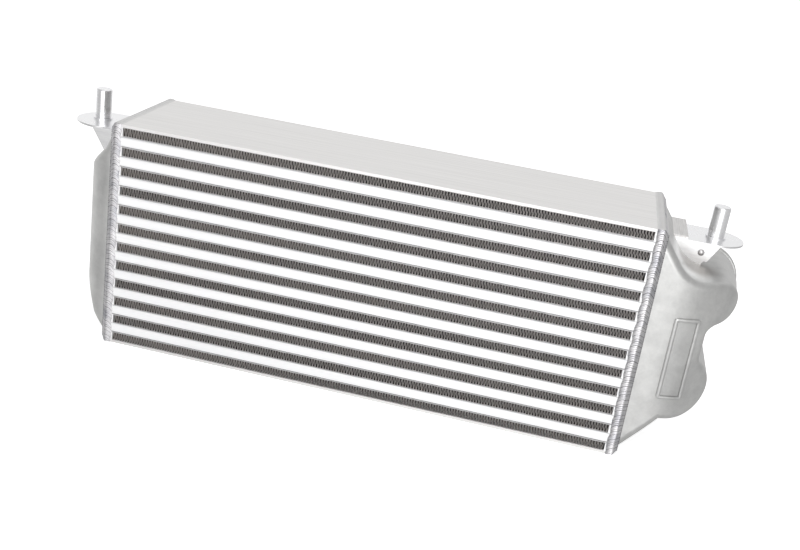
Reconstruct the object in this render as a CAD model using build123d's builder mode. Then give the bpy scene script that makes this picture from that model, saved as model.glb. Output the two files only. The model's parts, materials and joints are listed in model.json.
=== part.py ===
from build123d import *
import os

# Bar-and-plate intercooler: a brazed core with a cast tank welded to each end.
# X runs along the core, Y from front to back, Z up. Millimetres.
# The origin is the middle of the core's bottom face.
# What sits at a core's end is drawn with X measured outwards from the core's end face,
# as it is on the right, then moved there, and mirrored for the left.

# Core
fin_length = 560.0
core_depth = 144.0
ambient_rows = 12
ambient_height = 10.0
charge_height = 10.6
separator_thickness = 0.5
skin_thickness = 3.0
closing_bar_width = 8.0
long_bar_width = 8.0
bar_edge_chamfer = 1.0
core_length = fin_length + 2 * closing_bar_width
flange_x = core_length / 2
charge_rows = ambient_rows - 1
tube_height = charge_height + 2 * separator_thickness
row_pitch = ambient_height + tube_height
core_height = 2 * skin_thickness + ambient_rows * ambient_height + charge_rows * tube_height

# Corrugated fins
fin_sheet = 0.4
ambient_fin_waves = 11
charge_fin_waves = 3
fin_edge_inset = 0.5

# Weld bead between the core and a tank
bead_height = 1.6
bead_core_width = 7.5
bead_tank_width = 4.0
bead_corner_radius = 3.0

# What both cast tanks share
tank_wall = 4.0
front_edge_radius = 8.0
back_edge_chamfer = 3.0
lip_drop = 5.0
lip_inset = 3.0
lip_length = 3.0
lip_bottom = lip_drop
lip_top = core_height - lip_drop
tank_front = -core_depth / 2 + lip_inset
tank_back = core_depth / 2 - lip_inset

# Rear port necks
neck_outer_radius = 38.0
neck_wall = 3.5
neck_length = 30.0
ridge_height = 2.2
ridge_width = 6.0
ridge_from_end = 4.0
ridge_chamfer = 1.2
neck_blend_y = 60.0
neck_end = tank_back + neck_length

# Brackets with locating pins: the left plate is wider and reaches further forward
sheet_thickness = 2.0
bend_radius = 1.8
plate_drop = 26.1
plate_back_y = 62.5
left_plate_front_y = -7.5
left_plate_end_x = 55.0
left_web_top_x = 59.0
left_web_foot_x = 34.0
left_pin_x = 63.0
left_pin_y = 30.5
right_plate_front_y = 2.5
right_plate_end_x = 62.0
right_web_top_x = 63.0
right_web_foot_x = 42.0
right_pin_x = 62.0
right_pin_y = 32.5
web_height = 39.3
web_lip_width = 4.0
web_lip_overlap = 1.5
web_lip_step = 1.5
web_lip_height = 20.5
pin_radius = 9.0
pin_height = 34.5
pin_chamfer = 0.8
pin_spigot_radius = 5.0
pin_collar_radius = 10.9
pin_collar_height = 1.5
tab_outer_x = 32.0
tab_thickness = 2.5
tab_front_y = 5.0
tab_back_inset = 1.0
rivet_inset = 15.0
rivet_drop = 11.0
rivet_shank_radius = 2.0
rivet_head_radius = 3.6
rivet_head_height = 2.4
rivet_head_chamfer = 1.5
rivet_tail_radius = 3.0
rivet_tail_height = 1.2
plate_inner_x = bead_tank_width
plate_top_z = core_height - plate_drop
web_foot_z = plate_top_z - web_height
web_slope = (right_web_top_x - right_web_foot_x) / web_height
lip_high_z = plate_top_z - sheet_thickness
lip_low_z = plate_top_z - web_lip_height
lip_high_x = right_web_top_x - sheet_thickness * web_slope
lip_low_x = right_web_top_x - web_lip_height * web_slope
tab_back_y = core_depth / 2 - tab_back_inset
rivet_x = right_web_top_x - rivet_inset
rivet_z = plate_top_z - rivet_drop

# Right tank: its heights come from the ear, which clears the bracket's plate
right_ear_x = 69.0
right_ear_radius = 24.0
right_ear_clearance = 22.5
right_neck_x = 64.0
right_neck_drop = 17.0
right_throat_y = -18.0
right_throat_radius = 23.0
right_lobe_x = 44.0
right_lobe_z = 86.0
right_lobe_radius = 38.0
right_heel_x = 39.0
right_waist_x = 66.0
right_waist_blend = 10.0
right_shoulder_x = 36.5
right_shoulder_blend = 40.0
right_sweep_start_x = 15.0
right_sweep_radius = 88.0
right_ear_z = plate_top_z - sheet_thickness - right_ear_clearance - right_ear_radius
right_neck_z = right_ear_z - right_neck_drop

# Raised empty frame on the right tank's front wall
frame_left_x = 31.0
frame_right_x = 57.0
frame_low_z = 74.0
frame_high_z = 165.0
frame_corner_radius = 3.0
frame_rim = 2.6
frame_height = 1.6
frame_reach_y = -25.0

# Left tank, drawn on the right and mirrored
left_neck_gap = 6.0
left_neck_z = 84.0
left_throat_x = 20.0
left_throat_z = 88.0
left_throat_y = -18.0
left_throat_radius = 18.0
left_side_x = 46.0
left_flank_x = 73.0
left_corner_x = 27.6
left_corner_radius = 32.0
left_heel_x = 20.0
left_heel_z = 28.0
left_knee_z = 105.0
left_shoulder_drop = 60.6
left_break_x = 14.5
left_break_drop = 26.1
left_side_blend = 16.0
left_crease_blend = 10.0
left_neck_x = neck_outer_radius + left_neck_gap
left_shoulder_z = lip_top - left_shoulder_drop
left_break_z = lip_top - left_break_drop

# How near an edge or a corner must be to count as lying at a place
snap = 0.01

os.makedirs("parts", exist_ok=True)


def row_floor(row):
    return skin_thickness + row * row_pitch


def charge_floor(row):
    return row_floor(row) + ambient_height + separator_thickness


def finish(piece, label):
    piece.part.label = label
    export_step(piece.part, f"parts/{label}.step")


def zigzag(span, floor, ceiling, waves):
    """Outline of a corrugated sheet that touches both levels."""
    half_wave = span / (2 * waves)
    levels = (floor, ceiling - fin_sheet)
    under = [(-span / 2 + step * half_wave, levels[step % 2]) for step in range(2 * waves + 1)]
    over = [(x, z + fin_sheet) for x, z in reversed(under)]
    return under + over


core_start = Plane.YZ.offset(-core_length / 2)

# Top and bottom skins
for label, level in (("bottom_plate", 0.0), ("top_plate", core_height - skin_thickness)):
    with BuildPart() as skin_plate:
        with BuildSketch(Plane.XY.offset(level)):
            Rectangle(core_length, core_depth)
        extrude(amount=skin_thickness)
    finish(skin_plate, label)

# Separator sheets above and below every charge passage
with BuildPart() as separators:
    with BuildSketch(core_start):
        for row in range(charge_rows):
            under_sheet = charge_floor(row) - separator_thickness / 2
            over_sheet = under_sheet + charge_height + separator_thickness
            with Locations((0, under_sheet), (0, over_sheet)):
                Rectangle(core_depth, separator_thickness)
    extrude(amount=core_length)
finish(separators, "separator_plates")

# Long bars that close the charge passages at the front and the back
for side, outward in (("front", -1), ("rear", 1)):
    bar_middle_y = outward * (core_depth - long_bar_width) / 2
    for row in range(charge_rows):
        with BuildPart() as bar:
            with BuildSketch(core_start) as section:
                with Locations((bar_middle_y, charge_floor(row) + charge_height / 2)):
                    Rectangle(long_bar_width, charge_height)
                outer_corners = section.vertices().group_by(Axis.X)[0 if outward < 0 else -1]
                chamfer(outer_corners, bar_edge_chamfer)
            extrude(amount=core_length)
        finish(bar, f"{side}_bar_{row + 1:02d}")

# Short bars that close the ambient passages at both ends
for side, start_x in (("left", -flange_x), ("right", flange_x - closing_bar_width)):
    with BuildPart() as closing_bars:
        with BuildSketch(Plane.YZ.offset(start_x)):
            for row in range(ambient_rows):
                with Locations((0, row_floor(row) + ambient_height / 2)):
                    Rectangle(core_depth, ambient_height)
        extrude(amount=closing_bar_width)
    finish(closing_bars, f"{side}_closing_bars")

# Corrugated ambient fins, one strip in each passage
for row in range(ambient_rows):
    with BuildPart() as fin:
        with BuildSketch(Plane.XZ.offset(fin_edge_inset - core_depth / 2)):
            with BuildLine():
                floor = row_floor(row)
                Polyline(zigzag(fin_length, floor, floor + ambient_height, ambient_fin_waves), close=True)
            make_face()
        extrude(amount=core_depth - 2 * fin_edge_inset)
    finish(fin, f"ambient_fin_{row + 1:02d}")

# Corrugated fins inside the charge passages
with BuildPart() as charge_fins:
    with BuildSketch(core_start):
        for row in range(charge_rows):
            with BuildLine():
                floor = charge_floor(row)
                charge_depth = core_depth - 2 * long_bar_width
                Polyline(zigzag(charge_depth, floor, floor + charge_height, charge_fin_waves), close=True)
            make_face()
    extrude(amount=core_length)
finish(charge_fins, "charge_fins")


def right_form(skin=0.0):
    """The right tank's body as a solid, with every face moved inwards by skin."""
    mouth_x = 0 if skin <= 0 else -2 * skin
    ear_top = right_ear_z + right_ear_radius
    lobe_bottom = right_lobe_z - right_lobe_radius
    sweep_end_x = right_sweep_start_x + right_sweep_radius
    sweep_end_y = tank_front + right_sweep_radius
    with BuildPart() as form:
        with BuildSketch(Plane.XZ.offset(-core_depth)) as outline:
            with BuildLine():
                Polyline(
                    (mouth_x, lip_bottom),
                    (lip_length, lip_bottom),
                    (right_heel_x, lobe_bottom),
                    (right_lobe_x, lobe_bottom),
                    (right_waist_x, right_lobe_z),
                    (right_waist_x, right_ear_z),
                    (right_ear_x, ear_top),
                    (right_shoulder_x, ear_top),
                    (lip_length, lip_top),
                    (mouth_x, lip_top),
                    close=True,
                )
            make_face()
            with Locations((right_ear_x, right_ear_z)):
                Circle(right_ear_radius)
            with Locations((right_lobe_x, right_lobe_z)):
                Circle(right_lobe_radius)
            waist = outline.vertices().filter_by(lambda corner: abs(corner.X - right_waist_x) < snap)
            fillet(waist, right_waist_blend)
            shoulder = outline.vertices().sort_by_distance((right_shoulder_x, ear_top))[0]
            fillet(shoulder, right_shoulder_blend)
            offset(amount=-skin)
        extrude(amount=2 * core_depth)
        with BuildSketch(Plane.XY):
            with BuildLine():
                Line((mouth_x, tank_front), (right_sweep_start_x, tank_front))
                RadiusArc((right_sweep_start_x, tank_front), (sweep_end_x, sweep_end_y), -right_sweep_radius)
                Polyline(
                    (sweep_end_x, sweep_end_y),
                    (sweep_end_x, tank_back),
                    (mouth_x, tank_back),
                    (mouth_x, tank_front),
                )
            make_face()
            offset(amount=-skin)
        extrude(amount=core_height, mode=Mode.INTERSECT)
    return form.part


def left_form(skin=0.0):
    """The left tank's body as a solid, drawn on the right, moved inwards by skin."""
    mouth_x = 0 if skin <= 0 else -2 * skin
    with BuildPart() as form:
        with BuildSketch(Plane.XZ.offset(-core_depth)) as outline:
            with BuildLine():
                Polyline(
                    (mouth_x, lip_bottom),
                    (lip_length, lip_bottom),
                    (left_heel_x, left_heel_z),
                    (left_side_x, left_knee_z),
                    (left_side_x, left_shoulder_z),
                    (left_break_x, left_break_z),
                    (lip_length, lip_top),
                    (mouth_x, lip_top),
                    close=True,
                )
            make_face()
            side_corners = outline.vertices().filter_by(lambda corner: abs(corner.X - left_side_x) < snap)
            fillet(side_corners, left_side_blend)
            heel = outline.vertices().sort_by_distance((left_heel_x, left_heel_z))[0]
            crown = outline.vertices().sort_by_distance((left_break_x, left_break_z))[0]
            fillet([heel, crown], left_crease_blend)
            offset(amount=-skin)
        extrude(amount=2 * core_depth)
        with BuildSketch(Plane.XY) as plan:
            with BuildLine():
                Polyline(
                    (mouth_x, tank_front),
                    (left_corner_x, tank_front),
                    (left_flank_x, tank_back),
                    (mouth_x, tank_back),
                    close=True,
                )
            make_face()
            corner = plan.vertices().sort_by_distance((left_corner_x, tank_front))[0]
            fillet(corner, left_corner_radius)
            offset(amount=-skin)
        extrude(amount=core_height, mode=Mode.INTERSECT)
    return form.part


def is_upright(edge):
    return abs(edge.tangent_at(0.5).Z) > 1 - snap


def edges_to_round(form, side_x):
    """Edges where a tank's front wall meets its top, side and bottom."""
    beyond_lip = form.edges().filter_by(lambda edge: edge.center().X > lip_length + snap)
    at_front = beyond_lip.filter_by(lambda edge: edge.bounding_box().max.Y < tank_front + core_depth / 2)
    wanted = at_front.filter_by(lambda edge: not is_upright(edge) or abs(edge.center().X - side_x) < snap)
    return wanted.sort_by(Axis.X, reverse=True)


def edges_to_chamfer(form):
    """Edges round a tank's back wall, clear of its lip."""
    beyond_lip = form.edges().filter_by(lambda edge: edge.center().X > lip_length + snap)
    return beyond_lip.filter_by(lambda edge: edge.bounding_box().min.Y > tank_back - snap)


def port_duct(throat, throat_radius, neck, skin=0.0):
    """Round duct that grows from a throat inside the tank to the neck's open end."""
    throat_x, throat_y, throat_z = throat
    duct_end = neck_end if skin == 0 else neck_end + skin
    with BuildPart() as duct:
        with BuildSketch(Plane.XZ.offset(-throat_y)):
            with Locations((throat_x, throat_z)):
                Circle(throat_radius - skin)
        with BuildSketch(Plane.XZ.offset(-neck_blend_y)):
            with Locations(neck):
                Circle(neck_outer_radius - skin)
        loft()
        with BuildSketch(Plane.XZ.offset(-neck_blend_y)):
            with Locations(neck):
                Circle(neck_outer_radius - skin)
        extrude(amount=neck_blend_y - duct_end)
    return duct.part


def hose_ridge(neck):
    """The raised ridge near a neck's open end, as a solid disc."""
    with BuildPart() as ridge:
        with BuildSketch(Plane.XZ.offset(ridge_from_end - neck_end)):
            with Locations(neck):
                Circle(neck_outer_radius + ridge_height)
        extrude(amount=ridge_width)
        chamfer(ridge.edges().filter_by(GeomType.CIRCLE), ridge_chamfer)
    return ridge.part


def place(label, drawn, on_left=False):
    """Move a piece out to the core's end, or to its mirror place on the left, and write it."""
    at_end = drawn.part.moved(Location((flange_x, 0, 0)))
    with BuildPart() as placed:
        if on_left:
            mirror(at_end, about=Plane.YZ)
        else:
            add(at_end)
    finish(placed, label)


# Right tank, with an empty frame raised on its front wall
right_throat = (right_ear_x, right_throat_y, right_ear_z)
right_neck = (right_neck_x, right_neck_z)
with BuildPart() as raised_frame:
    add(right_form(-frame_height))
    with BuildSketch(Plane.XZ.offset(-frame_reach_y)) as rim:
        with Locations(((frame_left_x + frame_right_x) / 2, (frame_low_z + frame_high_z) / 2)):
            RectangleRounded(frame_right_x - frame_left_x, frame_high_z - frame_low_z, frame_corner_radius)
        offset(amount=-frame_rim, mode=Mode.SUBTRACT)
    extrude(amount=core_depth / 2, mode=Mode.INTERSECT)

with BuildPart() as right_tank:
    add(right_form())
    fillet(edges_to_round(right_tank, right_waist_x), front_edge_radius)
    chamfer(edges_to_chamfer(right_tank), back_edge_chamfer)
    add(raised_frame.part)
    add(port_duct(right_throat, right_throat_radius, right_neck))
    add(hose_ridge(right_neck))
    add(right_form(tank_wall), mode=Mode.SUBTRACT)
    add(port_duct(right_throat, right_throat_radius, right_neck, neck_wall), mode=Mode.SUBTRACT)
place("right_tank", right_tank)

# Left tank, with its port low down
left_throat = (left_throat_x, left_throat_y, left_throat_z)
left_neck = (left_neck_x, left_neck_z)
with BuildPart() as left_tank:
    add(left_form())
    fillet(edges_to_round(left_tank, left_side_x), front_edge_radius)
    chamfer(edges_to_chamfer(left_tank), back_edge_chamfer)
    add(port_duct(left_throat, left_throat_radius, left_neck))
    add(hose_ridge(left_neck))
    add(left_form(tank_wall), mode=Mode.SUBTRACT)
    add(port_duct(left_throat, left_throat_radius, left_neck, neck_wall), mode=Mode.SUBTRACT)
place("left_tank", left_tank, on_left=True)


left_bracket = (left_plate_front_y, left_plate_end_x, left_web_top_x, left_web_foot_x)
right_bracket = (right_plate_front_y, right_plate_end_x, right_web_top_x, right_web_foot_x)
for side, tank_body, sizes, pin_place in (
    ("left", left_form(), left_bracket, (left_pin_x, left_pin_y)),
    ("right", right_form(), right_bracket, (right_pin_x, right_pin_y)),
):
    on_left = side == "left"
    plate_front_y, plate_end_x, web_top_x, web_foot_x = sizes
    plate_end_radius = (plate_back_y - plate_front_y) / 2
    plate_middle_y = (plate_back_y + plate_front_y) / 2

    # Bent sheet bracket: a level plate with a round end, and a web folded down at the front
    with BuildPart() as bracket:
        with BuildSketch(Plane.XY.offset(plate_top_z - sheet_thickness)):
            with Locations(((plate_inner_x + plate_end_x) / 2, plate_middle_y)):
                Rectangle(plate_end_x - plate_inner_x, plate_back_y - plate_front_y)
        extrude(amount=sheet_thickness)
        with BuildSketch(Plane.XZ.offset(-plate_front_y)):
            with BuildLine():
                Polyline(
                    (plate_inner_x, plate_top_z),
                    (web_top_x, plate_top_z),
                    (web_foot_x, web_foot_z),
                    (plate_inner_x, web_foot_z),
                    close=True,
                )
            make_face()
            if not on_left:
                with Locations((rivet_x, rivet_z)):
                    Circle(rivet_shank_radius, mode=Mode.SUBTRACT)
        extrude(amount=-sheet_thickness)
        bend = bracket.edges().filter_by(Axis.X).group_by(Axis.Z)[-1].sort_by(Axis.Y)[0]
        fillet(bend, bend_radius)
        with BuildSketch(Plane.XY.offset(plate_top_z - sheet_thickness)):
            with Locations((plate_end_x, plate_middle_y)):
                Circle(plate_end_radius)
        extrude(amount=sheet_thickness)
        with BuildSketch(Plane.XY.offset(plate_top_z - sheet_thickness)):
            with Locations(pin_place):
                Circle(pin_spigot_radius)
        extrude(amount=sheet_thickness, mode=Mode.SUBTRACT)
        if not on_left:
            with BuildSketch(Plane.XZ.offset(-plate_front_y - web_lip_step)):
                with BuildLine():
                    Polyline(
                        (lip_high_x - web_lip_overlap, lip_high_z),
                        (lip_high_x + web_lip_width, lip_high_z),
                        (lip_low_x + web_lip_width, lip_low_z),
                        (lip_low_x - web_lip_overlap, lip_low_z),
                        close=True,
                    )
                make_face()
            extrude(amount=-sheet_thickness)
        add(tank_body, mode=Mode.SUBTRACT)
    place(f"{side}_bracket", bracket, on_left)

    # Brushed tab that lies on the plate against the tank
    with BuildPart() as tab:
        with BuildSketch(Plane.XY.offset(plate_top_z)):
            with Locations(((plate_inner_x + tab_outer_x) / 2, (tab_front_y + tab_back_y) / 2)):
                Rectangle(tab_outer_x - plate_inner_x, tab_back_y - tab_front_y)
        extrude(amount=tab_thickness)
        add(tank_body, mode=Mode.SUBTRACT)
    place(f"{side}_tab", tab, on_left)

    # Turned locating pin with a collar on the plate and a spigot through it
    with BuildPart() as pin:
        with BuildSketch(Plane.XY.offset(plate_top_z)):
            with Locations(pin_place):
                Circle(pin_radius)
        extrude(amount=pin_height)
        chamfer(pin.edges().sort_by(Axis.Z)[-1], pin_chamfer)
        with BuildSketch(Plane.XY.offset(plate_top_z)):
            with Locations(pin_place):
                Circle(pin_collar_radius)
        extrude(amount=pin_collar_height)
        with BuildSketch(Plane.XY.offset(plate_top_z)):
            with Locations(pin_place):
                Circle(pin_spigot_radius)
        extrude(amount=-sheet_thickness)
    place(f"{side}_pin", pin, on_left)

    # Weld bead round the front, top and back of the joint, and under the tank's lip
    with BuildPart() as bead:
        for start_x, width, hollow_width, hollow_low, hollow_high in (
            (-bead_core_width, bead_core_width, core_depth, -core_height, core_height),
            (0, bead_tank_width, tank_back - tank_front, lip_bottom, lip_top),
        ):
            with BuildSketch(Plane.YZ.offset(start_x)):
                with Locations((0, core_height / 2)):
                    RectangleRounded(core_depth + 2 * bead_height, core_height + 2 * bead_height, bead_corner_radius)
                with Locations((0, (hollow_low + hollow_high) / 2)):
                    Rectangle(hollow_width, hollow_high - hollow_low, mode=Mode.SUBTRACT)
                with Locations((0, -core_height / 2)):
                    Rectangle(2 * core_depth, core_height, mode=Mode.SUBTRACT)
            extrude(amount=width)
    place(f"{side}_weld_bead", bead, on_left)

# Rivet that closes the right bracket's web
with BuildPart() as rivet:
    with BuildSketch(Plane.XZ.offset(-right_plate_front_y)):
        with Locations((rivet_x, rivet_z)):
            Circle(rivet_head_radius)
    extrude(amount=rivet_head_height)
    chamfer(rivet.edges().sort_by(Axis.Y)[0], rivet_head_chamfer)
    with BuildSketch(Plane.XZ.offset(-right_plate_front_y)):
        with Locations((rivet_x, rivet_z)):
            Circle(rivet_shank_radius)
    extrude(amount=-sheet_thickness)
    with BuildSketch(Plane.XZ.offset(-right_plate_front_y - sheet_thickness)):
        with Locations((rivet_x, rivet_z)):
            Circle(rivet_tail_radius)
    extrude(amount=-rivet_tail_height)
place("right_web_rivet", rivet)
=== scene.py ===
import json
import math
import random

import bpy
import numpy as np
from mathutils import Matrix, Vector


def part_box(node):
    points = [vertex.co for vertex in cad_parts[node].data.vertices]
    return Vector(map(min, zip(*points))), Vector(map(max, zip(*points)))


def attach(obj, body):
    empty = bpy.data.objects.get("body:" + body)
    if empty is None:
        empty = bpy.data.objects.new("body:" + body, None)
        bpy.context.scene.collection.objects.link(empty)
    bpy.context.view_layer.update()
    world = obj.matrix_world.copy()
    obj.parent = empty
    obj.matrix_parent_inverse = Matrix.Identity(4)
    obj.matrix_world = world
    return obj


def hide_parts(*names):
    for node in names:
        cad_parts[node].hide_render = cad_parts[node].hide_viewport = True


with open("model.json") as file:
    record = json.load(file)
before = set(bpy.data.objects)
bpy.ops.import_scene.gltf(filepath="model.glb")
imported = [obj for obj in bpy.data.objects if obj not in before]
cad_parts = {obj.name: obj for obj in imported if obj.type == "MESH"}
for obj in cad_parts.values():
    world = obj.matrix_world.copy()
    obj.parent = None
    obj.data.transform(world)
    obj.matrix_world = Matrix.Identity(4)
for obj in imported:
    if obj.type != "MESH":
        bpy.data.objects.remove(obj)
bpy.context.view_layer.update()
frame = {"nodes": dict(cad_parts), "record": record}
nodes = frame["nodes"]
print("frame loaded, nodes:", len(nodes))


# Materials

def addNode(tree, kind, **settings):
    node = tree.nodes.new(kind)
    for name, value in settings.items():
        if name in node.inputs:
            node.inputs[name].default_value = value
        else:
            setattr(node, name, value)
    return node


def startMaterial(name, metallic):
    material = bpy.data.materials.new(name)
    material.use_nodes = True
    tree = material.node_tree
    shader = tree.nodes["Principled BSDF"]
    shader.inputs["Metallic"].default_value = metallic
    return material, tree, shader


def placeTexture(tree, stretch):
    # object coordinates are metres in the row frame
    coords = addNode(tree, "ShaderNodeTexCoord")
    mapping = addNode(tree, "ShaderNodeMapping")
    mapping.inputs["Scale"].default_value = stretch
    tree.links.new(coords.outputs["Object"], mapping.inputs["Vector"])
    return mapping.outputs["Vector"]


def noiseOver(tree, vector, scale, detail=4.0, roughness=0.55):
    noise = addNode(tree, "ShaderNodeTexNoise")
    noise.inputs["Scale"].default_value = scale
    noise.inputs["Detail"].default_value = detail
    noise.inputs["Roughness"].default_value = roughness
    tree.links.new(vector, noise.inputs["Vector"])
    return noise.outputs["Fac"]


def rampBetween(tree, factor, stops):
    ramp = addNode(tree, "ShaderNodeValToRGB")
    ramp.color_ramp.elements[0].position = stops[0][0]
    ramp.color_ramp.elements[0].color = (*stops[0][1], 1)
    ramp.color_ramp.elements[1].position = stops[-1][0]
    ramp.color_ramp.elements[1].color = (*stops[-1][1], 1)
    for position, colour in stops[1:-1]:
        ramp.color_ramp.elements.new(position).color = (*colour, 1)
    tree.links.new(factor, ramp.inputs["Fac"])
    return ramp.outputs["Color"]


def rangeOf(tree, factor, low, high):
    spread = addNode(tree, "ShaderNodeMapRange")
    spread.inputs["To Min"].default_value = low
    spread.inputs["To Max"].default_value = high
    tree.links.new(factor, spread.inputs["Value"])
    return spread.outputs["Result"]


def bumpFrom(tree, height, distance, strength=1.0, under=None):
    bump = addNode(tree, "ShaderNodeBump")
    bump.inputs["Distance"].default_value = distance
    bump.inputs["Strength"].default_value = strength
    tree.links.new(height, bump.inputs["Height"])
    if under is not None:
        tree.links.new(under, bump.inputs["Normal"])
    return bump.outputs["Normal"]


def mixTowards(tree, factor, colour, goal):
    # sockets 6, 7 and 2 are the colour ones among a mix node's many
    mixed = addNode(tree, "ShaderNodeMix", data_type="RGBA")
    tree.links.new(factor, mixed.inputs["Factor"])
    tree.links.new(colour, mixed.inputs[6])
    mixed.inputs[7].default_value = (*goal, 1)
    return mixed.outputs[2]


def paintShadeInGrooves(tree, colour, dark):
    # painted shade: pieces carry a shade value at each vertex that darkens the colour in grooves and crevices, CAD
    # nodes have none
    paintedGrooveShade = addNode(tree, "ShaderNodeAttribute", attribute_name="paintedGrooveShade")
    return mixTowards(tree, paintedGrooveShade.outputs["Fac"], colour, dark)


def closeTo(tree, vector, place, near, far):
    # 1 within the near distance of a place, 0 beyond the far one
    gap = addNode(tree, "ShaderNodeVectorMath", operation="DISTANCE")
    gap.inputs[1].default_value = place
    tree.links.new(vector, gap.inputs[0])
    spread = addNode(tree, "ShaderNodeMapRange", interpolation_type="SMOOTHSTEP")
    spread.inputs["From Min"].default_value = far
    spread.inputs["From Max"].default_value = near
    tree.links.new(gap.outputs["Value"], spread.inputs["Value"])
    return spread.outputs["Result"]


castLook = {
    "metallic": 0.85,
    "light": (0.62, 0.62, 0.61),
    "dark": (0.46, 0.46, 0.455),
    "patchNoise": (42.0, 8.0, 0.7),
    "roughness": (0.28, 0.42),
    "grainScale": 900.0,
    "grainHeight": 0.00009,
    "grainStrength": 0.6,
    "swellScale": 55.0,
    "swellHeight": 0.0004,
    "swellStrength": 0.5,
    # painted shade in the crevices along both sides of the frame's rim
    "paintedCreviceShade": (0.22, 0.22, 0.22),
    # browned casting plus painted shadow behind the right bracket's web
    "stainAndShadow": (0.23, 0.215, 0.20),
    "stainAndShadowPlace": (0.331, -0.015, 0.208),
    "stainAndShadowNear": 0.010,
    "stainAndShadowFar": 0.034,
}


def castMaterial():
    material, tree, shader = startMaterial("castAluminium", castLook["metallic"])
    even = placeTexture(tree, (1, 1, 1))
    patches = noiseOver(tree, even, *castLook["patchNoise"])
    grain = noiseOver(tree, even, castLook["grainScale"], 3.0)
    swell = noiseOver(tree, even, castLook["swellScale"], 2.0)
    colour = rampBetween(tree, patches, [(0.3, castLook["dark"]), (0.7, castLook["light"])])
    # the casting is browned, and darkened by a painted shadow, behind the right bracket's web
    near = closeTo(tree, even, castLook["stainAndShadowPlace"], castLook["stainAndShadowNear"], castLook["stainAndShadowFar"])
    stainedAndShaded = mixTowards(tree, near, colour, castLook["stainAndShadow"])
    tree.links.new(paintShadeInGrooves(tree, stainedAndShaded, castLook["paintedCreviceShade"]), shader.inputs["Base Color"])
    tree.links.new(rangeOf(tree, grain, *castLook["roughness"]), shader.inputs["Roughness"])
    waves = bumpFrom(tree, swell, castLook["swellHeight"], castLook["swellStrength"])
    rough = bumpFrom(tree, grain, castLook["grainHeight"], castLook["grainStrength"], waves)
    tree.links.new(rough, shader.inputs["Normal"])
    return material


def brushedMaterial(name, light, dark, stretch, metallic=0.9, rough=(0.3, 0.45), height=0.00004):
    material, tree, shader = startMaterial(name, metallic)
    along = placeTexture(tree, stretch)
    even = placeTexture(tree, (1, 1, 1))
    streaks = noiseOver(tree, along, 1.0, 6.0, 0.65)
    smudges = noiseOver(tree, even, 16.0, 4.0)
    blend = addNode(tree, "ShaderNodeMath", operation="MULTIPLY")
    tree.links.new(streaks, blend.inputs[0])
    tree.links.new(rangeOf(tree, smudges, 0.85, 1.15), blend.inputs[1])
    colour = rampBetween(tree, blend.outputs["Value"], [(0.35, dark), (0.6, light)])
    tree.links.new(colour, shader.inputs["Base Color"])
    tree.links.new(rangeOf(tree, smudges, *rough), shader.inputs["Roughness"])
    tree.links.new(bumpFrom(tree, streaks, height, 0.6), shader.inputs["Normal"])
    return material


# least upward share of a normal that counts as facing up
facingUp = 0.7


def paintLightOnTops(material, light):
    # painted light: what faces up gets a paler colour than what stands below it
    tree = material.node_tree
    shader = tree.nodes["Principled BSDF"]
    coords = addNode(tree, "ShaderNodeTexCoord")
    split = addNode(tree, "ShaderNodeSeparateXYZ")
    tree.links.new(coords.outputs["Normal"], split.inputs["Vector"])
    upward = addNode(tree, "ShaderNodeMath", operation="GREATER_THAN")
    upward.inputs[1].default_value = facingUp
    tree.links.new(split.outputs["Z"], upward.inputs[0])
    below = shader.inputs["Base Color"].links[0].from_socket
    tree.links.new(mixTowards(tree, upward.outputs["Value"], below, light), shader.inputs["Base Color"])
    return material


weldLook = {
    "metallic": 0.9,
    "tintNoise": (45.0, 3.0),
    "tints": [(0.3, (0.40, 0.40, 0.43)), (0.5, (0.62, 0.61, 0.62)), (0.7, (0.46, 0.46, 0.48))],
    # painted shade: the dark colour of the ripple troughs and of the line along the toe
    "paintedGrooveShade": (0.05, 0.05, 0.055),
    "roughness": (0.22, 0.42),
    "grainNoise": (1500.0, 2.0),
    "grainHeight": 0.00005,
    "grainStrength": 0.5,
    # painted light: the paler colour of the bead where it faces up
    "paintedTopLight": (0.70, 0.695, 0.69),
}


def weldMaterial():
    material, tree, shader = startMaterial("weldBead", weldLook["metallic"])
    even = placeTexture(tree, (1, 1, 1))
    tint = noiseOver(tree, even, *weldLook["tintNoise"])
    grain = noiseOver(tree, even, *weldLook["grainNoise"])
    colour = rampBetween(tree, tint, weldLook["tints"])
    tree.links.new(paintShadeInGrooves(tree, colour, weldLook["paintedGrooveShade"]), shader.inputs["Base Color"])
    tree.links.new(rangeOf(tree, tint, *weldLook["roughness"]), shader.inputs["Roughness"])
    fine = bumpFrom(tree, grain, weldLook["grainHeight"], weldLook["grainStrength"])
    tree.links.new(fine, shader.inputs["Normal"])
    return material


def depthInCore(tree, vector, halfDepth, reach):
    # 0 well inside the core, 1 at its front and back faces
    split = addNode(tree, "ShaderNodeSeparateXYZ")
    tree.links.new(vector, split.inputs["Vector"])
    aside = addNode(tree, "ShaderNodeMath", operation="ABSOLUTE")
    tree.links.new(split.outputs["Y"], aside.inputs[0])
    spread = addNode(tree, "ShaderNodeMapRange")
    spread.inputs["From Min"].default_value = halfDepth - reach
    spread.inputs["From Max"].default_value = halfDepth
    tree.links.new(aside.outputs["Value"], spread.inputs["Value"])
    return spread.outputs["Result"]


finColourAndShade = {
    "metallic": 0.6,
    "patchNoise": (30.0, 3.0),
    "roughness": (0.38, 0.55),
    "face": 0.0713,
    "reach": 0.0024,
    "deep": (0.05, 0.042, 0.038),
    "near": (0.30, 0.265, 0.24),
    "edge": (0.52, 0.49, 0.47),
}


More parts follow.
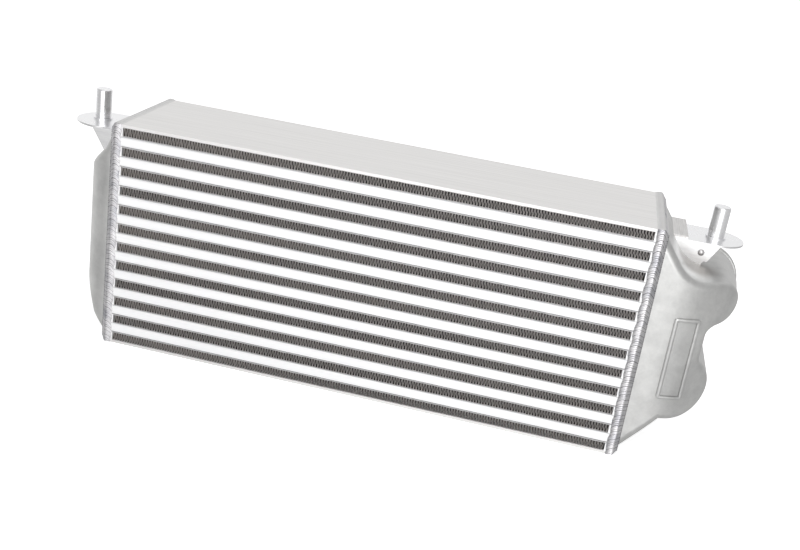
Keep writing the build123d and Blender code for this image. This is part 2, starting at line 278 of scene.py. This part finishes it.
def finMaterial():
    material, tree, shader = startMaterial("foldedFinPaintedShade", finColourAndShade["metallic"])
    even = placeTexture(tree, (1, 1, 1))
    patches = noiseOver(tree, even, *finColourAndShade["patchNoise"])
    # painted shade: the colour darkens with depth into the core, from the pale cut edge at the faces to near black
    # deep inside
    depth = depthInCore(tree, even, finColourAndShade["face"], finColourAndShade["reach"])
    stops = [(0.0, finColourAndShade["deep"]), (0.97, finColourAndShade["near"]), (0.99, finColourAndShade["edge"])]
    colour = rampBetween(tree, depth, stops)
    tree.links.new(colour, shader.inputs["Base Color"])
    tree.links.new(rangeOf(tree, patches, *finColourAndShade["roughness"]), shader.inputs["Roughness"])
    return material


sheetLook = {
    "metallic": 0.6,
    "patchNoise": (60.0, 3.0),
    "roughness": (0.4, 0.6),
    "face": 0.0719,
    "reach": 0.0002,
    # flux and painted shade where the sheet floors a channel
    "inside": [(0.35, (0.03, 0.03, 0.03)), (0.65, (0.06, 0.055, 0.05))],
    "edge": (0.62, 0.62, 0.63),
}


def sheetMaterial():
    # bright along its cut edge; where it floors a channel it is dark with flux and with painted shade
    material, tree, shader = startMaterial("brazingSheetFluxAndShade", sheetLook["metallic"])
    even = placeTexture(tree, (1, 1, 1))
    patches = noiseOver(tree, even, *sheetLook["patchNoise"])
    atEdge = depthInCore(tree, even, sheetLook["face"], sheetLook["reach"])
    inside = rampBetween(tree, patches, sheetLook["inside"])
    tree.links.new(mixTowards(tree, atEdge, inside, sheetLook["edge"]), shader.inputs["Base Color"])
    tree.links.new(rangeOf(tree, patches, *sheetLook["roughness"]), shader.inputs["Roughness"])
    return material


looks = {
    "casting": castMaterial(),
    "skin": brushedMaterial(
        "rolledSkin", (0.83, 0.82, 0.81), (0.77, 0.76, 0.75), (5, 300, 300), 0.9, (0.34, 0.46), 0.00001
    ),
    "bar": brushedMaterial(
        "barStock", (0.93, 0.93, 0.93), (0.89, 0.89, 0.90), (5, 400, 400), 0.35, (0.28, 0.4), 0.00001
    ),
    "separator": sheetMaterial(),
    "polished_sheet": paintLightOnTops(
        brushedMaterial(
            "polishedSheet", (0.78, 0.78, 0.78), (0.70, 0.70, 0.71), (40, 300, 300), 1.0, (0.22, 0.34), 0.00001
        ),
        # painted light: the paler colour of the sheet's upward faces
        (0.93, 0.93, 0.94),
    ),
    "brushed_sheet": brushedMaterial("brushedSheet", (0.72, 0.71, 0.70), (0.58, 0.57, 0.56), (500, 30, 500)),
    "turned": brushedMaterial(
        "turnedMetal", (0.94, 0.94, 0.95), (0.84, 0.84, 0.86), (200, 200, 900), 1.0, (0.12, 0.22), 0.00001
    ),
    "braze": brushedMaterial("brazeFillet", (0.56, 0.55, 0.55), (0.42, 0.41, 0.42), (200, 300, 300), 0.4),
    "rivet": brushedMaterial("rivetHead", (0.62, 0.61, 0.61), (0.46, 0.45, 0.45), (300, 300, 300), 0.8),
    "weld": paintLightOnTops(weldMaterial(), weldLook["paintedTopLight"]),
    "fin": finMaterial(),
}

for subpart in frame["record"]["subparts"]:
    body = nodes[subpart["node"]]
    body.data.materials.clear()
    body.data.materials.append(looks[subpart["material_slot"]])
print("materials given to every node")


# Pieces that replace plain solids

def meshPiece(name, vertices, faces, slotName, replaced, sharpAngle=None, lookName=None):
    mesh = bpy.data.meshes.new(name)
    mesh.from_pydata([tuple(v) for v in vertices], [], [tuple(f) for f in faces])
    mesh.materials.append(looks[lookName or slotName])
    if sharpAngle is not None:
        mesh.shade_smooth()
        mesh.set_sharp_from_angle(angle=math.radians(sharpAngle))
    piece = bpy.data.objects.new(name, mesh)
    bpy.context.collection.objects.link(piece)
    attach(piece, "root")
    if replaced:
        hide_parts(*replaced)
    return piece


def shadeGrooves(piece, shades):
    piece.data.attributes.new("paintedGrooveShade", "FLOAT", "POINT").data.foreach_set("value", shades)


def gridFaces(rows, columns, closeColumns=False):
    row = np.arange(rows - 1)[:, None]
    last = columns if closeColumns else columns - 1
    column = np.arange(last)[None, :]
    ahead = (column + 1) % columns
    quads = np.stack(
        [row * columns + column, row * columns + ahead, (row + 1) * columns + ahead, (row + 1) * columns + column],
        axis=-1,
    )
    return quads.reshape(-1, 4)


fins = {
    "wallSpacing": 0.0015,
    "foldRadius": 0.0005,
    "waveLength": 0.0200,
    "waveReach": 0.0009,
    "stationStep": 0.0024,
    "shownDepth": 0.0240,
    "sheet": 0.00032,
    "lean": 0.00055,
    "jitter": 0.00006,
    "phaseSwing": 1.1,
    "phaseDrift": (6, 14),
    "sharpAngle": 38,
    "seed": 11,
}


def finStations(front, back):
    # close together where they show, then one long stretch in the middle
    steps = round(fins["shownDepth"] / fins["stationStep"])
    near = front + np.arange(steps + 1) * fins["stationStep"]
    return np.concatenate([near, (front + back) - near[::-1]])


def cutEdge(x, z, low, high):
    # both sides of the sheet's cut edge, half a thickness away from its middle line
    along = np.stack([np.gradient(x), np.gradient(z)])
    along /= np.linalg.norm(along, axis=0)
    aside = np.stack([-along[1], along[0]]) * fins["sheet"] / 2
    sides = []
    for sign in (-1, 1):
        sideX = np.clip(x + sign * aside[0], low.x, high.x)
        sideZ = np.clip(z + sign * aside[1], low.z, high.z)
        sides.append((sideX, sideZ))
    return sides


def buildFinRow(nodeName, dice):
    low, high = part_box(nodeName)
    count = round((high.x - low.x) / fins["wallSpacing"])
    margin = fins["waveReach"] + fins["lean"] + fins["jitter"] * 2
    spacing = (high.x - low.x - 2 * margin) / (count - 1)
    radius = fins["foldRadius"]
    foot = []
    levels = []
    for wall in range(count):
        wobble = dice.uniform(-1, 1) * fins["jitter"]
        start = low.x + margin + wall * spacing + dice.uniform(-1, 1) * fins["jitter"]
        upward = wall % 2 == 0
        ends = (low.z, high.z) if upward else (high.z, low.z)
        towards = radius if upward else -radius
        foot += [start - fins["lean"], start + fins["lean"] + wobble, start + spacing / 2]
        levels += [ends[0] + towards, ends[1] - towards, ends[1]]
    across = np.array(foot)
    levels = np.array(levels)
    across[-1] = min(across[-1], high.x)
    stations = finStations(low.y, high.y)
    phase = dice.uniform(0, 2 * math.pi)
    drift = dice.uniform(*fins["phaseDrift"])
    swing = np.sin(
        2 * math.pi * (stations[:, None] - low.y) / fins["waveLength"]
        + phase
        + fins["phaseSwing"] * np.sin(across[None, :] * drift + phase)
    )
    x = across[None, :] + fins["waveReach"] * swing
    y = np.broadcast_to(stations[:, None], x.shape)
    z = np.broadcast_to(levels[None, :], x.shape)
    points = [np.stack([x, y, z], axis=-1).reshape(-1, 3)]
    faces = [gridFaces(len(stations), len(across))]
    width = len(across)
    column = np.arange(width - 1)
    total = len(stations) * width
    for station in (0, len(stations) - 1):
        middle = station * width + column
        for sideX, sideZ in cutEdge(x[station], levels, low, high):
            rimY = np.full(width, stations[station])
            points.append(np.stack([sideX, rimY, sideZ], axis=-1))
            rim = total + column
            faces.append(np.stack([middle, middle + 1, rim + 1, rim], axis=-1))
            total += width
    label = nodeName.replace("ambient_fin", "wavyFins")
    vertices = np.concatenate(points)
    return meshPiece(label, vertices, np.concatenate(faces), "fin", [nodeName], fins["sharpAngle"])


finNodes = sorted(name for name in nodes if name.startswith("ambient_fin"))
finDice = random.Random(fins["seed"])
for finNode in finNodes:
    buildFinRow(finNode, finDice)
print("wavy fins built:", len(finNodes))


# brazing metal that has crept along the sheets at both faces of the core
fillets = {
    "tall": 0.00075,
    "deep": 0.0006,
    "uneven": 0.00022,
    "toeShare": 0.3,
    "step": 0.003,
    "sharpAngle": 30,
    "seed": 23,
}


def buildFillets(nodeName, dice):
    low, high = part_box(nodeName)
    stations = np.linspace(low.x, high.x, round((high.x - low.x) / fillets["step"]) + 1)
    points = []
    faces = []
    for face, inward in ((low.y, 1), (high.y, -1)):
        for sheet, away in ((low.z, 1), (high.z, -1)):
            start = len(points)
            for x in stations:
                tall = fillets["tall"] + dice.uniform(-1, 1) * fillets["uneven"]
                rim = sheet + away * tall
                points.append((x, face, sheet))
                points.append((x, face, rim))
                toe = sheet + away * tall * fillets["toeShare"]
                points.append((x, face + inward * fillets["deep"], toe))
            faces.append(gridFaces(len(stations), 3) + start)
    label = nodeName.replace("ambient_fin", "brazeFillets")
    quads = np.concatenate(faces)
    return meshPiece(label, points, quads, "separator", [], fillets["sharpAngle"], "braze")


filletDice = random.Random(fillets["seed"])
for finNode in finNodes:
    buildFillets(finNode, filletDice)
print("braze fillets built:", len(finNodes))


beads = {
    "ripplePitch": 0.0022,
    "overTank": 0.0016,
    "topRipple": 0.35,
    "samplesPerRipple": 8,
    "crescent": 1.7,
    "rippleDepth": 0.00100,
    "edgeScallop": 0.0006,
    "rowPitch": 0.0216,
    "rowPull": 0.0009,
    "profileSteps": 12,
    "cornerLength": 0.0045,
    "wanderRates": (260, 97),
    "insetLeast": 0.0005,
    "insetSpread": 0.0007,
    "sinkSpread": 0.00012,
    "phaseSpread": 0.6,
    "depthRate": 2.4,
    "easeStart": 0.55,
    # painted shade of the line along the bead's toe on the tank
    "paintedToeShade": 0.75,
    "sharpAngle": 60,
    "seed": 5,
}


def beadPath(coreLow, coreHigh, lipLow, lipHigh):
    # from the foot of the front joint, up, over the top and down the back
    run = coreHigh.z - coreLow.z
    cross = coreHigh.y - coreLow.y
    corner = beads["cornerLength"]
    total = 2 * run + cross + 2 * corner
    step = beads["ripplePitch"] / beads["samplesPerRipple"]
    for length in np.linspace(0, total, int(total / step) + 1):
        if length <= run:
            share, turn = length / run, 0.0
            core = (coreLow.y, coreLow.z + share * run)
            lip = (lipLow.y, lipLow.z + share * (lipHigh.z - lipLow.z))
        elif length <= run + corner:
            turn = (length - run) / corner * math.pi / 2
            core = (coreLow.y, coreHigh.z)
            lip = (lipLow.y, lipHigh.z)
        elif length <= run + corner + cross:
            share, turn = (length - run - corner) / cross, math.pi / 2
            core = (coreLow.y + share * cross, coreHigh.z)
            lip = (lipLow.y + share * (lipHigh.y - lipLow.y), lipHigh.z)
        elif length <= run + 2 * corner + cross:
            turn = math.pi / 2 + (length - run - corner - cross) / corner * math.pi / 2
            core = (coreHigh.y, coreHigh.z)
            lip = (lipHigh.y, lipHigh.z)
        else:
            share, turn = (length - run - 2 * corner - cross) / run, math.pi
            core = (coreHigh.y, coreHigh.z - share * run)
            lip = (lipHigh.y, lipHigh.z - share * (lipHigh.z - lipLow.z))
        yield length, core, lip, (-math.cos(turn), math.sin(turn))


def buildBead(side, dice):
    low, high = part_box(f"{side}_weld_bead")
    plateLow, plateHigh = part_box("bottom_plate")
    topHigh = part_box("top_plate")[1]
    tankLow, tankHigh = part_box(f"{side}_tank")
    coreLow = Vector((0, plateLow.y, plateLow.z))
    coreHigh = Vector((0, plateHigh.y, topHigh.z))
    lipLow = Vector((0, tankLow.y, tankLow.z))
    # a tank's lip is as far behind the core's middle as in front of it
    lipHigh = Vector((0, -tankLow.y, tankHigh.z))
    swell = coreLow.y - low.y
    inner, outer = (low.x, high.x) if side == "right" else (high.x, low.x)
    width = high.x - low.x
    steps = beads["profileSteps"]
    wander = [dice.uniform(0, 2 * math.pi) for _ in range(3)]
    slow, slower = beads["wanderRates"]
    vertices = []
    shades = []
    for length, core, lip, normal in beadPath(coreLow, coreHigh, lipLow, lipHigh):
        uneven = math.sin(length * slow + wander[0]) * 0.5 + math.sin(length * slower + wander[1]) * 0.5
        upright = abs(normal[0]) > 0.7
        row = max(0, math.cos(2 * math.pi * (core[1] - plateHigh.z) / beads["rowPitch"]))
        pull = beads["rowPull"] * row if upright else 0
        inset = beads["insetLeast"] + beads["insetSpread"] * (1 + uneven) / 2 + pull
        for index in range(steps + 1):
            share = index / steps
            middle = 2 * share - 1
            lag = beads["crescent"] * (1 - middle * middle)
            phase = length / beads["ripplePitch"] + uneven * beads["phaseSpread"] - lag
            count = math.floor(phase)
            ripple = phase - count
            strength = 0.7 + 0.3 * math.sin(count * beads["depthRate"] + wander[2])
            depth = strength * (1 if upright else beads["topRipple"])
            saw = ripple * ripple * depth
            sunk = beads["rippleDepth"] * (0.3 + 0.7 * saw)
            dome = (1 - middle ** 4) * (swell - sunk - beads["sinkSpread"] * (1 + uneven))
            blend = min(1, max(0, (share - beads["easeStart"]) / (1 - beads["easeStart"])))
            ease = blend * blend * (3 - 2 * blend)
            base = [core[0] + (lip[0] - core[0]) * ease, core[1] + (lip[1] - core[1]) * ease]
            scallop = beads["edgeScallop"] * (saw - 0.5) * middle ** 6 * (1 if middle < 0 else -1)
            reach = inset + (width - inset + beads["overTank"]) * share + scallop
            x = inner + (reach if side == "right" else -reach)
            vertices.append((x, base[0] + normal[0] * dome, base[1] + normal[1] * dome))
            # painted shade: the ripple troughs darken with their depth, and on the upright runs a painted shadow
            # line follows the toe on the tank
            paintedToeShade = beads["paintedToeShade"] if upright and index == steps else 0
            shades.append(max(paintedToeShade, min(1, (saw - 0.25) / 0.5)))
    columns = steps + 1
    rows = len(vertices) // columns
    faces = [tuple(f) for f in gridFaces(rows, columns, True)]
    faces.append(tuple(range(columns)))
    faces.append(tuple(range((rows - 1) * columns, rows * columns))[::-1])
    replaced = [f"{side}_weld_bead"]
    bead = meshPiece(f"{side}RippledWeld", vertices, faces, "weld", replaced, beads["sharpAngle"])
    shadeGrooves(bead, shades)
    return bead


beadDice = random.Random(beads["seed"])
for side in ("left", "right"):
    buildBead(side, beadDice)
print("rippled welds built")


rivet = {
    "steps": 40,
    "headDepth": 0.0024,
    "shankShare": 0.55,
    "tailDepth": 0.0012,
    "tailEdge": 0.0003,
    "sharpAngle": 40,
    "headCurve": [(0.0, 1.0), (0.35, 0.95), (0.65, 0.78), (0.86, 0.5), (0.97, 0.22), (1.0, 0.0)],
}


def buildRivet():
    low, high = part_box("right_web_rivet")
    centre = (low + high) / 2
    radius = (high.x - low.x) / 2
    shank = radius * rivet["shankShare"]
    seat = low.y + rivet["headDepth"]
    tail = high.y - rivet["tailDepth"]
    profile = [(radius * r, seat - rivet["headDepth"] * h) for r, h in rivet["headCurve"]]
    profile += [(shank, seat), (shank, tail), (radius * 0.8, tail)]
    profile += [(radius * 0.7, high.y - rivet["tailEdge"]), (radius * 0.4, high.y), (0.0, high.y)]
    vertices = []
    for distance, y in profile:
        for step in range(rivet["steps"]):
            angle = 2 * math.pi * step / rivet["steps"]
            x = centre.x + distance * math.cos(angle)
            vertices.append((x, y, centre.z + distance * math.sin(angle)))
    faces = gridFaces(len(profile), rivet["steps"], True)
    replaced = ["right_web_rivet"]
    return meshPiece("domedRivet", vertices, faces, "turned", replaced, rivet["sharpAngle"], "rivet")


buildRivet()
print("domed rivet built")


# the raised frame's rim on the right tank, with the rounded edges of a casting
rim = {
    "left": 0.3187,
    "right": 0.3453,
    "low": 0.0737,
    "high": 0.1653,
    "corner": 0.0034,
    "width": 0.0040,
    "height": 0.0022,
    "squareness": 3,
    "front": -0.069,
    "sweepStart": 0.303,
    "sweepRadius": 0.088,
    "profileSteps": 12,
    "cornerSteps": 6,
    "runSteps": 16,
    "sunk": 0.0001,
    "sharpAngle": 60,
}


def onFrontWall(x, z, proud):
    # a point on the swept front wall, or a little in front of it
    angle = math.asin(max(0, x - rim["sweepStart"]) / rim["sweepRadius"])
    y = rim["front"] + rim["sweepRadius"] * (1 - math.cos(angle))
    return (x + proud * math.sin(angle), y - proud * math.cos(angle), z)


def rimPath():
    # middle line of the rim with its outward direction, once round
    inset = rim["width"] / 2
    bend = rim["corner"] - inset
    centreX = (rim["left"] + rim["right"]) / 2
    centreZ = (rim["low"] + rim["high"]) / 2
    halfX = (rim["right"] - rim["left"]) / 2 - rim["corner"]
    halfZ = (rim["high"] - rim["low"]) / 2 - rim["corner"]
    corners = [(1, 1), (-1, 1), (-1, -1), (1, -1)]
    for index, (signX, signZ) in enumerate(corners):
        middle = (centreX + signX * halfX, centreZ + signZ * halfZ)
        for step in range(rim["cornerSteps"] + 1):
            turn = (index + step / rim["cornerSteps"]) * math.pi / 2
            outward = (math.cos(turn), math.sin(turn))
            yield middle[0] + bend * outward[0], middle[1] + bend * outward[1], outward
        nextX, nextZ = corners[(index + 1) % 4]
        goal = (centreX + nextX * halfX, centreZ + nextZ * halfZ)
        for step in range(1, rim["runSteps"]):
            share = step / rim["runSteps"]
            x = middle[0] + (goal[0] - middle[0]) * share + bend * outward[0]
            z = middle[1] + (goal[1] - middle[1]) * share + bend * outward[1]
            yield x, z, outward


def buildRim():
    power = 2 / rim["squareness"]
    vertices = []
    for x, z, outward in rimPath():
        for step in range(rim["profileSteps"] + 1):
            turn = math.pi * step / rim["profileSteps"]
            across = math.copysign(abs(math.cos(turn)) ** power, math.cos(turn)) * rim["width"] / 2
            proud = math.sin(turn) ** power * rim["height"] - rim["sunk"]
            vertices.append(onFrontWall(x + across * outward[0], z + across * outward[1], proud))
    columns = rim["profileSteps"] + 1
    rows = len(vertices) // columns
    faces = []
    for row in range(rows):
        after = (row + 1) % rows
        for column in range(columns - 1):
            here, there = row * columns + column, after * columns + column
            faces.append((here, here + 1, there + 1, there))
    border = meshPiece("roundedFrameRim", vertices, faces, "casting", [], rim["sharpAngle"])
    # painted shade: a dark line along both foot edges of the rim
    paintedCreviceShade = [1.0] + [0.0] * (columns - 2) + [1.0]
    shadeGrooves(border, paintedCreviceShade * rows)
    return border


buildRim()
print("raised frame's rim built")


# Floor, light and camera

floorValues = {"reach": 30.0, "colour": (0.9, 0.9, 0.9), "roughness": 0.9, "lift": 0.6}


def buildFloor():
    reach = floorValues["reach"]
    mesh = bpy.data.meshes.new("floor")
    corners = [(-reach, -reach, 0), (reach, -reach, 0), (reach, reach, 0), (-reach, reach, 0)]
    mesh.from_pydata(corners, [], [(0, 1, 2, 3)])
    material, tree, shader = startMaterial("paleFloor", 0.0)
    shader.inputs["Base Color"].default_value = (*floorValues["colour"], 1)
    shader.inputs["Roughness"].default_value = floorValues["roughness"]
    shader.inputs["Emission Color"].default_value = (1, 1, 1, 1)
    path = addNode(tree, "ShaderNodeLightPath")
    lift = addNode(tree, "ShaderNodeMath", operation="MULTIPLY")
    lift.inputs[1].default_value = floorValues["lift"]
    tree.links.new(path.outputs["Is Camera Ray"], lift.inputs[0])
    tree.links.new(lift.outputs["Value"], shader.inputs["Emission Strength"])
    mesh.materials.append(material)
    floor = bpy.data.objects.new("floor", mesh)
    floor.visible_glossy = False
    floor.visible_shadow = False
    bpy.context.collection.objects.link(floor)
    return floor


buildFloor()

# each lobe is a direction, how narrow it is, and how much light it adds
worldLight = {
    "whiteInMetal": 0.2,
    "base": 0.42,
    "lobes": [
        ((0.12, -0.96, 0.06), 12.0, 3.5),
        ((0.70, -0.70, -0.15), 2.0, 0.12),
        ((0.0, 0.92, 0.38), 3.0, 0.45),
        ((-0.80, 0.55, -0.25), 4.0, 0.55),
    ],
}


def lobe(tree, vector, direction, focus, amount):
    facing = addNode(tree, "ShaderNodeVectorMath", operation="DOT_PRODUCT")
    facing.inputs[1].default_value = Vector(direction).normalized()
    tree.links.new(vector, facing.inputs[0])
    clipped = addNode(tree, "ShaderNodeMath", operation="MAXIMUM")
    clipped.inputs[1].default_value = 0
    tree.links.new(facing.outputs["Value"], clipped.inputs[0])
    shaped = addNode(tree, "ShaderNodeMath", operation="POWER")
    shaped.inputs[1].default_value = focus
    tree.links.new(clipped.outputs["Value"], shaped.inputs[0])
    scaled = addNode(tree, "ShaderNodeMath", operation="MULTIPLY")
    scaled.inputs[1].default_value = amount
    tree.links.new(shaped.outputs["Value"], scaled.inputs[0])
    return scaled.outputs["Value"]


def buildWorld():
    world = bpy.data.worlds.new("studio")
    bpy.context.scene.world = world
    world.use_nodes = True
    tree = world.node_tree
    shade = tree.nodes["Background"]
    shade.inputs["Color"].default_value = (1, 1, 1, 1)
    coords = addNode(tree, "ShaderNodeTexCoord")
    total = None
    for direction, focus, amount in worldLight["lobes"]:
        added = addNode(tree, "ShaderNodeMath", operation="ADD")
        tree.links.new(lobe(tree, coords.outputs["Generated"], direction, focus, amount), added.inputs[0])
        if total is None:
            added.inputs[1].default_value = worldLight["base"]
        else:
            tree.links.new(total, added.inputs[1])
        total = added.outputs["Value"]
    tree.links.new(total, shade.inputs["Strength"])
    white = addNode(tree, "ShaderNodeBackground", Strength=1.0)
    white.inputs["Color"].default_value = (1, 1, 1, 1)
    path = addNode(tree, "ShaderNodeLightPath")
    seen = addNode(tree, "ShaderNodeMath", operation="MULTIPLY_ADD", use_clamp=True)
    seen.inputs[1].default_value = worldLight["whiteInMetal"]
    tree.links.new(path.outputs["Is Glossy Ray"], seen.inputs[0])
    tree.links.new(path.outputs["Is Camera Ray"], seen.inputs[2])
    clear = addNode(tree, "ShaderNodeMath", operation="ADD", use_clamp=True)
    tree.links.new(seen.outputs["Value"], clear.inputs[0])
    tree.links.new(path.outputs["Is Transmission Ray"], clear.inputs[1])
    choose = addNode(tree, "ShaderNodeMixShader")
    tree.links.new(clear.outputs["Value"], choose.inputs["Fac"])
    tree.links.new(shade.outputs["Background"], choose.inputs[1])
    tree.links.new(white.outputs["Background"], choose.inputs[2])
    tree.links.new(choose.outputs["Shader"], tree.nodes["World Output"].inputs["Surface"])


buildWorld()

lamps = {
    "frontSoftbox": {"place": (0.1, -1.5, 1.6), "aim": (0, 0, 0.12), "size": 1.5, "watts": 16},
    "topSoftbox": {"place": (0.2, 0.2, 1.9), "aim": (0, 0, 0.2), "size": 1.6, "watts": 3},
}


def buildLamp(name, values):
    light = bpy.data.lights.new(name, "AREA")
    light.energy = values["watts"]
    light.size = values["size"]
    lamp = bpy.data.objects.new(name, light)
    bpy.context.collection.objects.link(lamp)
    lamp.location = values["place"]
    aim = Vector(values["aim"]) - Vector(values["place"])
    lamp.rotation_euler = aim.to_track_quat("-Z", "Y").to_euler()


for lampName, lampValues in lamps.items():
    buildLamp(lampName, lampValues)

camera = {
    "place": (0.19563, -1.12297, 0.55496),
    "yaw": 8.6635,
    "pitch": 20.788,
    "roll": 8.6876,
    "lens": 48.98,
    "sensor": 36.0,
}


def buildCamera():
    data = bpy.data.cameras.new("photoCamera")
    data.sensor_fit = "HORIZONTAL"
    data.sensor_width = camera["sensor"]
    data.lens = camera["lens"]
    data.clip_start = 0.01
    seat = bpy.data.objects.new("photoCamera", data)
    bpy.context.collection.objects.link(seat)
    turn = Matrix.Rotation(math.radians(camera["yaw"]), 4, "Z")
    tilt = Matrix.Rotation(math.radians(90 - camera["pitch"]), 4, "X")
    roll = Matrix.Rotation(math.radians(camera["roll"]), 4, "Z")
    seat.matrix_world = Matrix.Translation(camera["place"]) @ turn @ tilt @ roll
    bpy.context.scene.camera = seat


buildCamera()
bpy.context.scene.view_settings.view_transform = "Standard"
print("floor, light and camera set")
